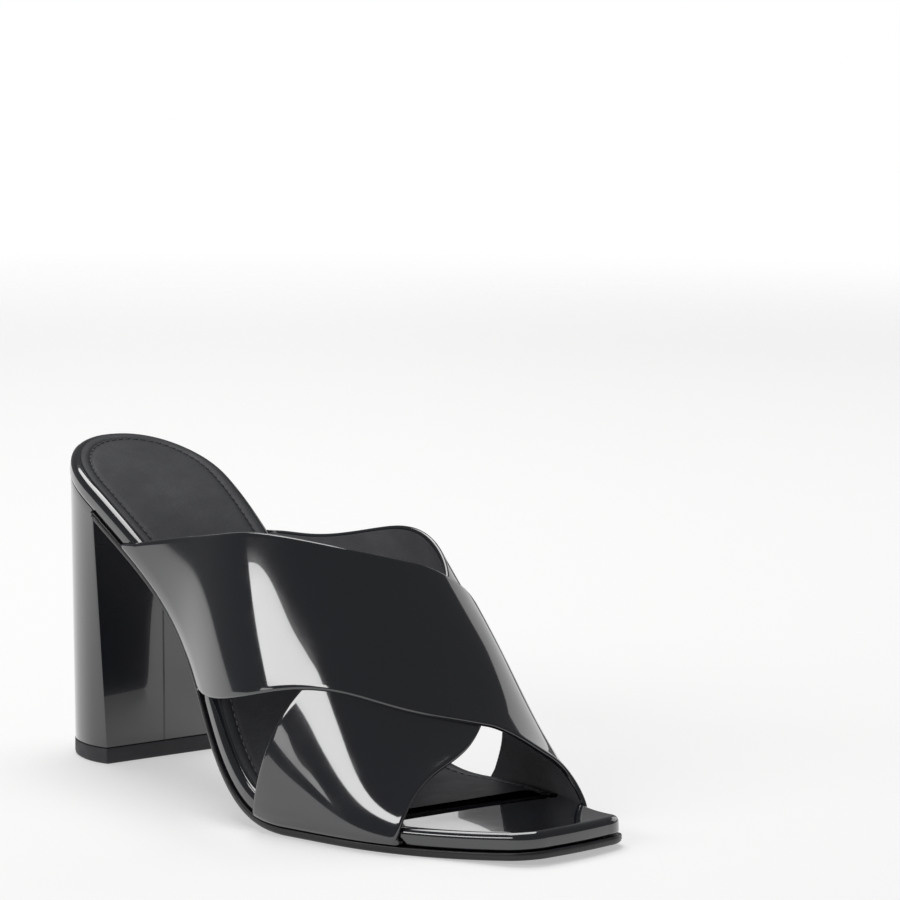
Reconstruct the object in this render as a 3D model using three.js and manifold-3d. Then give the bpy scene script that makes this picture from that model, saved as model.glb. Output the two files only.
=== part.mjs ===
// A right-foot patent leather mule with two crossed straps, a wrapped footbed and a block heel.
// Millimetres, +Z up. The floor is z = 0, the toe points to -Y and the outer (lateral) side is -X.
import * as THREE from "three";
import { mergeVertices } from "three/addons/utils/BufferGeometryUtils.js";
import Module from "manifold-3d";

const wasm = await Module();
wasm.setup();

// Driving sizes
const LENGTH = 221.6; // heel back to toe, along the last's heel axis
const BALL_WIDTH = 78; // footbed across the ball
const SEAT_HEIGHT = 98.4; // footbed's underside above the floor, at the back of the heel
const INSTEP_HEIGHT = 91.6; // crest of the straps above the floor, where they cross
const SWING = 9.2; // degrees that the toe swings in from the heel axis
const WALL = 1.8; // strap leather with its lining
const GAP = 0.3; // between two pieces

// Sole and heel
const OUTSOLE = 2.5; // outsole thickness
const OUTSOLE_LEDGE = 0.7; // outsole past the footbed's edge
const FOOTBED = 5.5; // wrapped footbed's band
const TOE_SPRING = 2.2;
const BREAST = 35; // heel's front face, from the back
const BASE_WIDTH = 48.4;
const BASE_DEPTH = 32.6;
const BASE_SETBACK = 2.9; // heel's base in from the back of the footbed
const TOP_PIECE = 5.2; // rubber under the heel

// Insole sock
const SOCK = 1.2; // its thickness
const SOCK_SINK = 0.9; // how far it is let into the footbed
const SOCK_MARGIN = 2.6; // in from the footbed's edge
const SOCK_END = 0.812; // share of the length where it stops before the toes

// Straps
const FLANGE = 8; // lasted in under the footbed
const BITE = 0.5; // over strap into under strap, where they are stuck together
const RAMP = 13; // over strap climbs on to the under strap in this length
const EASE = 0.3; // straps stand off the footbed's band by this much more than the gap

const STACK = OUTSOLE + GAP; // footbed's underside above a flat floor
const FLAT_FROM = 0.68;
const FLAT_TO = 0.84;

// The last's bottom: half widths as shares of the ball width, lift as a share of the seat's rise
const LAST = [
  { at: 0.0, lateral: 0.342, medial: 0.342, lift: 1.0 },
  { at: 0.06, lateral: 0.342, medial: 0.342, lift: 0.9476 },
  { at: 0.12, lateral: 0.342, medial: 0.342, lift: 0.8926 },
  { at: 0.2, lateral: 0.34, medial: 0.331, lift: 0.8047 },
  { at: 0.3, lateral: 0.309, medial: 0.316, lift: 0.6574 },
  { at: 0.4, lateral: 0.31, medial: 0.349, lift: 0.4616 },
  { at: 0.5, lateral: 0.368, medial: 0.464, lift: 0.2061 },
  { at: 0.6, lateral: 0.384, medial: 0.597, lift: 0.0276 },
  { at: 0.64, lateral: 0.367, medial: 0.641, lift: 0.004 },
  { at: 0.7, lateral: 0.318, medial: 0.689, lift: 0.0 },
  { at: 0.8, lateral: 0.213, medial: 0.709, lift: 0.0 },
  { at: 0.9, lateral: 0.035, medial: 0.657, lift: 0.0 },
  { at: 1.0, lateral: -0.149, medial: 0.641, lift: 0.0 },
];
const HEEL_ROUND = { depth: 32.3, power: 2.14 };
const TOE_ROUND = { corner: 6.9, turn: 6.3, bulge: 0.7, from: 0.86 };

// Crest of the instep, as a share of its height where the straps cross
const CREST = [
  { at: 0.4, height: 1.524 },
  { at: 0.52, height: 1.336 },
  { at: 0.62, height: 0.999 },
  { at: 0.72, height: 0.639 },
  { at: 0.82, height: 0.316 },
  { at: 0.95, height: 0.3 },
];
// Fullness of its cross-section on each side, and how far its crest lies to the inner side
const SECTION = [
  { at: 0.0, lateral: 2.17, medial: 2.53, crest: 20.4 },
  { at: 1.0, lateral: 2.14, medial: 2.22, crest: 3.8 },
];

// Edges of the straps as shares of the length, over the turn from the outer to the inner side
const STRAPS = [
  { turn: 0, overRear: 0.2407, overFront: 0.446, underRear: 0.6129, underFront: 0.841 },
  { turn: 0.06, overRear: 0.3243, overFront: 0.5316, underRear: 0.6294, underFront: 0.8445 },
  { turn: 0.12, overRear: 0.4019, overFront: 0.6041, underRear: 0.6471, underFront: 0.8441 },
  { turn: 0.2, overRear: 0.4944, overFront: 0.6809, underRear: 0.6702, underFront: 0.8398 },
  { turn: 0.3, overRear: 0.5793, overFront: 0.7462, underRear: 0.6929, underFront: 0.833 },
  { turn: 0.4, overRear: 0.6317, overFront: 0.7816, underRear: 0.7023, underFront: 0.8251 },
  { turn: 0.5, overRear: 0.659, overFront: 0.8024, underRear: 0.694, underFront: 0.7953 },
  { turn: 0.6, overRear: 0.669, overFront: 0.8218, underRear: 0.662, underFront: 0.7288 },
  { turn: 0.7, overRear: 0.668, overFront: 0.8343, underRear: 0.6, underFront: 0.657 },
  { turn: 0.8, overRear: 0.669, overFront: 0.84, underRear: 0.519, underFront: 0.605 },
  { turn: 0.88, overRear: 0.673, overFront: 0.851, underRear: 0.436, underFront: 0.572 },
  { turn: 0.94, overRear: 0.671, overFront: 0.86, underRear: 0.356, underFront: 0.546 },
  { turn: 1, overRear: 0.648, overFront: 0.866, underRear: 0.245, underFront: 0.5014 },
];

// Curves through tables

// A natural cubic spline through a table's rows, straight past both ends.
function curve(rows, x, y) {
  const n = rows.length;
  const xs = rows.map((r) => r[x]);
  const ys = rows.map((r) => r[y]);
  const c = new Array(n).fill(0);
  const d = new Array(n).fill(0);
  const m = new Array(n).fill(0);
  for (let i = 1; i < n - 1; i++) {
    const h0 = xs[i] - xs[i - 1];
    const h1 = xs[i + 1] - xs[i];
    const b = 2 * (h0 + h1) - h0 * c[i - 1];
    const r = 6 * ((ys[i + 1] - ys[i]) / h1 - (ys[i] - ys[i - 1]) / h0);
    c[i] = h1 / b;
    d[i] = (r - h0 * d[i - 1]) / b;
  }
  for (let i = n - 2; i > 0; i--) m[i] = d[i] - c[i] * m[i + 1];
  const slope = (i, j) => {
    const h = xs[j] - xs[i];
    return (ys[j] - ys[i]) / h;
  };
  const first = slope(0, 1) - ((xs[1] - xs[0]) * m[1]) / 6;
  const last = slope(n - 2, n - 1) + ((xs[n - 1] - xs[n - 2]) * m[n - 2]) / 6;
  return (v) => {
    if (v <= xs[0]) return ys[0] + first * (v - xs[0]);
    if (v >= xs[n - 1]) return ys[n - 1] + last * (v - xs[n - 1]);
    let i = 0;
    while (v > xs[i + 1]) i++;
    const h = xs[i + 1] - xs[i];
    const a = (xs[i + 1] - v) / h;
    const b = (v - xs[i]) / h;
    return a * ys[i] + b * ys[i + 1] + (((a ** 3 - a) * m[i] + (b ** 3 - b) * m[i + 1]) * h * h) / 6;
  };
}

const clamp = THREE.MathUtils.clamp;
const smooth = (v) => THREE.MathUtils.smoothstep(v, 0, 1);
const rad = THREE.MathUtils.degToRad;
const LATERAL = -1;
const MEDIAL = 1;

const halfWidth = {
  [LATERAL]: curve(LAST, "at", "lateral"),
  [MEDIAL]: curve(LAST, "at", "medial"),
};
const liftShare = curve(LAST, "at", "lift");
const crestShare = curve(CREST, "at", "height");
const fullness = {
  [LATERAL]: curve(SECTION, "at", "lateral"),
  [MEDIAL]: curve(SECTION, "at", "medial"),
};
const crestOffset = curve(SECTION, "at", "crest");
const EDGES = ["overRear", "overFront", "underRear", "underFront"];
const edge = Object.fromEntries(EDGES.map((name) => [name, curve(STRAPS, "turn", name)]));

// The last's bottom, in its own axes: f from the heel's back to the toe, m from the heel axis to the inner side

// Height of the footbed's underside.
function lift(f) {
  const u = f / LENGTH;
  if (u < FLAT_FROM) return STACK + (SEAT_HEIGHT - STACK) * Math.max(0, liftShare(u));
  return STACK + TOE_SPRING * Math.max(0, (u - FLAT_TO) / (1 - FLAT_TO)) ** 2;
}

// Half width on one side without the rounding of heel and toe.
const plainHalf = (side, f) => BALL_WIDTH * halfWidth[side](f / LENGTH);

function roundedHalf(side, f) {
  const { depth, power } = HEEL_ROUND;
  const { corner } = TOE_ROUND;
  const back = (1 - clamp(1 - f / depth, 0, 1) ** power) ** (1 / power);
  const q = clamp(1 - (LENGTH - f) / corner, 0, 1);
  return plainHalf(side, f) * back - corner * (1 - Math.sqrt(1 - q * q));
}

// The toe's front line is turned a little.
function turned(f, m) {
  const k = clamp((f / LENGTH - TOE_ROUND.from) / (1 - TOE_ROUND.from), 0, 1);
  return new THREE.Vector2(f - m * Math.tan(rad(TOE_ROUND.turn)) * k * k, m);
}

// A point off the footbed's underside by `off`, square to its profile.
function lifted(p, off) {
  const slope = (lift(p.x + 0.05) - lift(p.x - 0.05)) / 0.1;
  const c = Math.hypot(1, slope);
  return new THREE.Vector3(p.y, -(p.x - (slope / c) * off), lift(p.x) + off / c);
}

// Stations from heel to toe, closer where the outline is round.
function stations(from, to) {
  const { depth } = HEEL_ROUND;
  const { corner } = TOE_ROUND;
  const list = [];
  for (let i = 0; i <= 10; i++) list.push(depth * (1 - Math.cos((i / 10) * (Math.PI / 2))));
  const middle = LENGTH - corner - depth;
  for (let i = 1; i <= 30; i++) list.push(depth + (middle * i) / 30);
  for (let i = 1; i <= 4; i++) list.push(LENGTH - corner + corner * Math.sin((i / 4) * (Math.PI / 2)));
  const inside = list.filter((f) => f > from + 0.4 && f < to - 0.6);
  return [from, ...inside, to];
}

// The footbed's outline moved in by `inset`, from one station to another: up the outer side and back down the inner.
function outline(inset, from = 0, to = LENGTH) {
  const list = stations(from, to);
  const tip = from === 0;
  const outer = list.slice(tip ? 1 : 0).map((f) => turned(f, -roundedHalf(LATERAL, f)));
  const inner = list.slice(tip ? 1 : 0).map((f) => turned(f, roundedHalf(MEDIAL, f)));
  const a = outer.at(-1);
  const b = inner.at(-1);
  const front = [];
  if (to === LENGTH)
    for (const s of [0.2, 0.4, 0.6, 0.8]) {
      const p = a.clone().lerp(b, s);
      front.push(new THREE.Vector2(p.x + TOE_ROUND.bulge * 4 * s * (1 - s), p.y));
    }
  const loop = [...(tip ? [new THREE.Vector2(0, 0)] : []), ...outer, ...front, ...inner.reverse()];
  const n = loop.length;
  return loop.map((p, i) => {
    const before = loop[(i + n - 1) % n];
    const after = loop[(i + 1) % n];
    const t0 = p.clone().sub(before).normalize();
    const t1 = after.clone().sub(p).normalize();
    const square = t0.dot(t1) < 0.6;
    const t = t0.clone().add(t1).normalize();
    const reach = inset / Math.max(0.5, square ? Math.sqrt((1 + t0.dot(t1)) / 2) : 1);
    return new THREE.Vector2(p.x + t.y * -reach, p.y + t.x * reach);
  });
}

// Solids

// One closed body through rings of the same number of points, with its two ends filled from side to side.
function skin(rings, tip) {
  const n = rings[0].length;
  const points = rings.flat();
  const faces = [];
  const face = (a, b, c) => {
    if (a !== b && b !== c && c !== a) faces.push([a, b, c]);
  };
  for (let k = 0; k + 1 < rings.length; k++)
    for (let i = 0; i < n; i++) {
      const a = k * n + i;
      const b = k * n + ((i + 1) % n);
      face(a, b, b + n);
      face(a, b + n, a + n);
    }
  const facing = (i) => (tip ? (n - i) % n : n - 1 - i);
  const top = (rings.length - 1) * n;
  for (let i = 0; i + 1 <= facing(i + 1); i++) {
    const [a, b, c, d] = [i, i + 1, facing(i + 1), facing(i)];
    face(c, b, a);
    face(d, c, a);
    face(top + a, top + b, top + c);
    face(top + a, top + c, top + d);
  }
  return solid(points, faces);
}

function solid(points, faces) {
  const geometry = new THREE.BufferGeometry().setFromPoints(points);
  geometry.setIndex(faces.flat());
  const made = solidOf(geometry);
  if (made.volume() > 0) return made;
  geometry.setIndex(faces.flatMap((t) => [t[0], t[2], t[1]]));
  return solidOf(geometry);
}

function solidOf(geometry) {
  const merged = mergeVertices(geometry, 1e-4);
  return new wasm.Manifold(
    new wasm.Mesh({
      numProp: 3,
      vertProperties: merged.attributes.position.array,
      triVerts: new Uint32Array(merged.index.array),
    }),
  );
}

function meshOf(name, made, material) {
  const m = made.getMesh();
  const geometry = new THREE.BufferGeometry();
  const at = new Float32Array(m.numVert * 3);
  for (let i = 0; i < m.numVert; i++) at.set(m.vertProperties.subarray(i * m.numProp, i * m.numProp + 3), i * 3);
  geometry.setAttribute("position", new THREE.BufferAttribute(at, 3));
  geometry.setIndex(new THREE.BufferAttribute(m.triVerts, 1));
  const mesh = new THREE.Mesh(geometry, material);
  mesh.name = name;
  return mesh;
}

// A plate that follows the last's bottom: rows of { inset, off } from its underside to its top.
function plate(rows, from = 0, to = LENGTH) {
  const rings = rows.map(({ inset, off }) => {
    const start = from === 0 ? 0 : from;
    return outline(inset, start, to).map((p) => lifted(p, off));
  });
  return skin(rings, from === 0);
}

// Straps

// How much longer a step square to the footbed's edge is when it is taken straight across the shoe.
function stretch(side, f) {
  return Math.hypot(1, plainHalf(side, f + 0.5) - plainHalf(side, f - 0.5));
}

// A point of a single strap's outer face, at f along the shoe and at a turn from the outer side to the inner.
function instep(f, turn) {
  const u = f / LENGTH;
  const phi = turn * Math.PI;
  const side = turn < 0.5 ? LATERAL : MEDIAL;
  const outer = plainHalf(LATERAL, f) + (GAP + EASE + WALL) * stretch(LATERAL, f);
  const inner = plainHalf(MEDIAL, f) + (GAP + EASE + WALL) * stretch(MEDIAL, f);
  const crest = crestOffset(u) + (inner - outer) / 2;
  const e = 2 / fullness[side](clamp(u, 0, 1));
  const across = Math.abs(Math.cos(phi)) ** e;
  const m = side === LATERAL ? crest - across * (crest + outer) : crest + across * (inner - crest);
  const base = lift(f);
  const height = Math.max(4, INSTEP_HEIGHT * crestShare(Math.min(u, 0.95)) - base);
  return new THREE.Vector3(m, -f, base + height * Math.abs(Math.sin(phi)) ** e);
}

// The outward direction there.
function instepNormal(f, turn) {
  const t = clamp(turn, 0.01, 0.99);
  const along = instep(f + 0.5, t).sub(instep(f - 0.5, t));
  const round = instep(f, t + 0.004).sub(instep(f, t - 0.004));
  return along.cross(round).normalize();
}

// How far the over strap is lifted by the under strap beneath it.
function climb(f, turn) {
  const inside = Math.min(f - LENGTH * edge.underRear(turn), LENGTH * edge.underFront(turn) - f);
  return (WALL - BITE) * smooth((inside * 0.8 + RAMP) / RAMP);
}

// The lasted-in foot of a strap: rows of { inset, off } under and round the footbed's edge.
const FOOT_OUTER = [
  { inset: FLANGE, off: 0 },
  { inset: -0.8, off: 0 },
  { inset: -1.6, off: 0.3 },
  { inset: -GAP - WALL, off: 1.1 },
];
const FOOT_INNER = [
  { inset: FLANGE, off: WALL - 0.1 },
  { inset: -GAP + 0.1, off: WALL - 0.1 },
  { inset: -GAP + 0.05, off: WALL + 0.2 },
  { inset: -GAP, off: WALL + 0.8 },
];

function footPoint(side, f, { inset, off }) {
  const m = plainHalf(side, f) - inset * stretch(side, f);
  return lifted(new THREE.Vector2(f, side * m), off);
}

const COLUMNS = 10;

function strap(rear, front, rows, raise) {
  const rings = [];
  const ring = (outer, inner) => rings.push([...outer, ...inner.reverse()]);
  const across = (turn) => {
    const a = LENGTH * edge[rear](turn);
    const b = LENGTH * edge[front](turn);
    return Array.from({ length: COLUMNS + 1 }, (_, i) => a + ((b - a) * i) / COLUMNS);
  };
  const foot = (side, turn, k) =>
    ring(
      across(turn).map((f) => footPoint(side, f, FOOT_OUTER[k])),
      across(turn).map((f) => footPoint(side, f, FOOT_INNER[k])),
    );
  for (let k = 0; k < 4; k++) foot(LATERAL, 0, k);
  for (let i = 0; i <= rows; i++) {
    const turn = 0.022 + (0.956 * i) / rows;
    const outer = [];
    const inner = [];
    for (const f of across(turn)) {
      const p = instep(f, turn);
      const n = instepNormal(f, turn);
      const up = raise ? climb(f, turn) : 0;
      outer.push(p.clone().addScaledVector(n, up));
      inner.push(p.clone().addScaledVector(n, up - WALL));
    }
    ring(outer, inner);
  }
  for (let k = 3; k >= 0; k--) foot(MEDIAL, 1, k);
  return skin(rings, false);
}

// The room in the footbed's underside for a strap's lasted-in edge.
function recess(side, rear, front) {
  const turn = side === LATERAL ? 0 : 1;
  const a = LENGTH * edge[rear](turn) - GAP;
  const b = LENGTH * edge[front](turn) + GAP;
  const corners = [
    { inset: -3, off: -1 },
    { inset: -3, off: WALL - 0.1 + GAP },
    { inset: FLANGE + GAP, off: WALL - 0.1 + GAP },
    { inset: FLANGE + GAP, off: -1 },
  ];
  const rings = [];
  for (let i = 0; i <= 12; i++) rings.push(corners.map((row) => footPoint(side, a + ((b - a) * i) / 12, row)));
  return skin(rings, false);
}

// Heel

// Half width of the heel's base, at a share of its depth.
function baseHalf(t) {
  const round = (1 - clamp(1 - t / 0.72, 0, 1) ** 2.12) ** (1 / 2.12);
  return (BASE_WIDTH / 2) * round - 2.3 * clamp((t - 0.72) / 0.28, 0, 1) ** 2;
}

// The heel's outline at its base, point for point with the footbed's outline above it.
function baseOutline(inset) {
  const list = stations(0, BREAST).slice(1);
  const at = (f, side) => {
    const t = f / BREAST;
    return new THREE.Vector2(BASE_SETBACK + t * BASE_DEPTH, side * baseHalf(t));
  };
  const loop = [
    new THREE.Vector2(BASE_SETBACK, 0),
    ...list.map((f) => at(f, LATERAL)),
    ...list.map((f) => at(f, MEDIAL)).reverse(),
  ];
  const centre = new THREE.Vector2(BASE_SETBACK + BASE_DEPTH * 0.6, 0);
  return loop.map((p) => p.clone().sub(centre).multiplyScalar(1 - inset / (BASE_WIDTH / 2)).add(centre));
}

const flat = (z) => (p) => new THREE.Vector3(p.y, -p.x, z);

function heelBlock() {
  const top = outline(0.5, 0, BREAST).map((p) => lifted(p, -GAP));
  const under = outline(1.3, 0, BREAST).map((p) => lifted(p, -GAP));
  const rim = top.map((p) => p.clone().setZ(p.z - 1.2));
  const foot = baseOutline(0).map(flat(TOP_PIECE + GAP));
  const rings = [foot];
  for (const s of [0.12, 0.35, 0.65, 0.88]) rings.push(foot.map((p, i) => p.clone().lerp(rim[i], s)));
  rings.push(rim, under);
  return skin(rings, true);
}

function topPiece() {
  const rings = [
    { inset: 0.6, z: 0 },
    { inset: 0.1, z: 0.5 },
    { inset: 0, z: 1.2 },
    { inset: 0, z: TOP_PIECE },
  ].map(({ inset, z }) => baseOutline(inset).map(flat(z)));
  return skin(rings, true);
}

// Assembly

const straps = strap("underRear", "underFront", 31, false)
  .add(strap("overRear", "overFront", 36, true))
  .simplify(0.02);

const sockEnd = LENGTH * SOCK_END;
const sockFloor = FOOTBED - SOCK_SINK;
const sock = plate(
  [
    { inset: SOCK_MARGIN, off: sockFloor + GAP },
    { inset: SOCK_MARGIN, off: sockFloor + SOCK - 0.4 + GAP },
    { inset: SOCK_MARGIN + 0.2, off: sockFloor + SOCK - 0.15 + GAP },
    { inset: SOCK_MARGIN + 0.8, off: sockFloor + SOCK + GAP },
  ],
  0,
  sockEnd,
);
const pocket = plate(
  [
    { inset: SOCK_MARGIN - GAP, off: sockFloor },
    { inset: SOCK_MARGIN - GAP, off: FOOTBED + 2 },
  ],
  0,
  sockEnd + GAP,
);
const board = plate([
  { inset: 1.2, off: 0 },
  { inset: 0.4, off: 0.2 },
  { inset: 0, off: 0.8 },
  { inset: 0, off: FOOTBED - 1.5 },
  { inset: 0.4, off: FOOTBED - 0.6 },
  { inset: 1.2, off: FOOTBED - 0.1 },
  { inset: 2, off: FOOTBED },
]);
const footbed = [
  pocket,
  recess(LATERAL, "overRear", "overFront"),
  recess(LATERAL, "underRear", "underFront"),
  recess(MEDIAL, "overRear", "overFront"),
  recess(MEDIAL, "underRear", "underFront"),
]
  .reduce((made, cutter) => made.subtract(cutter), board)
  .simplify(0.02);
const outsole = plate(
  [
    { inset: 0.2, off: -GAP - OUTSOLE },
    { inset: -OUTSOLE_LEDGE + 0.2, off: -GAP - OUTSOLE + 0.5 },
    { inset: -OUTSOLE_LEDGE, off: -GAP - 1 },
    { inset: -OUTSOLE_LEDGE, off: -GAP },
  ],
  BREAST - 3,
).trimByPlane([0, -1, 0], BREAST + GAP);

const patent = new THREE.MeshStandardMaterial({ color: 0x14161c, roughness: 0.12 });
const leather = new THREE.MeshStandardMaterial({ color: 0x3c3d43, roughness: 0.75 });
const soleLeather = new THREE.MeshStandardMaterial({ color: 0x191a1d, roughness: 0.5 });
const rubber = new THREE.MeshStandardMaterial({ color: 0x2b2c2f, roughness: 0.8 });

const shoe = new THREE.Group();
shoe.name = "sandal";
shoe.add(
  meshOf("outsole", outsole, soleLeather),
  meshOf("footbed", footbed, patent),
  meshOf("insole_sock", sock, leather),
  meshOf("upper_straps", straps, patent),
  meshOf("heel", heelBlock(), patent),
  meshOf("heel_top_piece", topPiece(), rubber),
);

// The long axis from heel to toe lies on Y, the middle of the shoe over the origin and its sole on the floor.
shoe.rotation.z = rad(-SWING);
shoe.updateMatrixWorld(true);
const box = new THREE.Box3().setFromObject(shoe, true);
shoe.position.set(-(box.min.x + box.max.x) / 2, -(box.min.y + box.max.y) / 2, -box.min.z);

const root = new THREE.Group();
root.add(shoe);
export default root;
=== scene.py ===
"""Smooth pieces, finishes, studio and camera for a right-foot patent leather mule.

The shoe's own axes are f, from the heel's back to the toe, m, from the heel axis to the inner side, and z, up from
the floor, all in millimetres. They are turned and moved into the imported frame's metres when a mesh is made.
"""

from __future__ import annotations

import logging
import math
from dataclasses import dataclass, field
from enum import Enum
from typing import Any, Sequence, Union

import bpy
import numpy as np
from mathutils import Matrix, Vector

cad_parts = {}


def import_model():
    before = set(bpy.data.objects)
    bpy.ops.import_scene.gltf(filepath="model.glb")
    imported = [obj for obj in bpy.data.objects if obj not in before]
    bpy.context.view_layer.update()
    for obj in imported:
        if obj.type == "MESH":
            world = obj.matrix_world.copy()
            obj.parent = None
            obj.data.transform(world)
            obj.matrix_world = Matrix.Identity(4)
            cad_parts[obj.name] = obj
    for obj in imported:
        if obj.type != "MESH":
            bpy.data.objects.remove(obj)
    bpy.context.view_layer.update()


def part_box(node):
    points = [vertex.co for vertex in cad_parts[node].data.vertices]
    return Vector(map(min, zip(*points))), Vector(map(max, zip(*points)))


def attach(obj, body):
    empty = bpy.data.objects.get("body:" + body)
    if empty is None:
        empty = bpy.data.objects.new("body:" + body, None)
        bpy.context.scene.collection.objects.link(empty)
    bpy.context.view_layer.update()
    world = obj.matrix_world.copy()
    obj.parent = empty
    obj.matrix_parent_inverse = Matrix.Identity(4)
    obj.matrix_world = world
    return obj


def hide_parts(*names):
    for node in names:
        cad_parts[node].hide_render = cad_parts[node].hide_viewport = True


log = logging.getLogger("sandal")

Array = np.ndarray
Number = Union[int, float]


class Side(Enum):
    """The two sides of the foot, as the sign of m."""

    LATERAL = -1
    MEDIAL = 1


class Curve:
    """A natural cubic spline through a table, straight past both ends."""

    def __init__(self, xs: Sequence[float], ys: Sequence[float]) -> None:
        """Solves the spline.

        Args:
            xs: the places, rising.
            ys: the value at each place.
        """
        self.xs = np.array(xs, float)
        self.ys = np.array(ys, float)
        n = len(self.xs)
        h = np.diff(self.xs)
        slope = np.diff(self.ys) / h
        matrix = np.eye(n)
        right = np.zeros(n)
        for i in range(1, n - 1):
            matrix[i, i - 1 : i + 2] = h[i - 1], 2 * (h[i - 1] + h[i]), h[i]
            right[i] = 6 * (slope[i] - slope[i - 1])
        self.bend = np.linalg.solve(matrix, right)
        self.first = slope[0] - h[0] * self.bend[1] / 6
        self.last = slope[-1] + h[-1] * self.bend[-2] / 6

    def __call__(self, v: Array) -> Array:
        """Returns the values at v, which may lie past the ends."""
        v = np.asarray(v, float)
        inner = np.clip(v, self.xs[0], self.xs[-1])
        i = np.clip(np.searchsorted(self.xs, inner, side="right") - 1, 0, len(self.xs) - 2)
        h = self.xs[i + 1] - self.xs[i]
        a = (self.xs[i + 1] - inner) / h
        b = (inner - self.xs[i]) / h
        y = a * self.ys[i] + b * self.ys[i + 1]
        y = y + ((a**3 - a) * self.bend[i] + (b**3 - b) * self.bend[i + 1]) * h * h / 6
        below = np.minimum(v - self.xs[0], 0)
        above = np.maximum(v - self.xs[-1], 0)
        return y + self.first * below + self.last * above


def smooth(v: Array) -> Array:
    """Returns v eased from 0 to 1 with level ends."""
    v = np.clip(v, 0, 1)
    return v * v * (3 - 2 * v)


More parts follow.
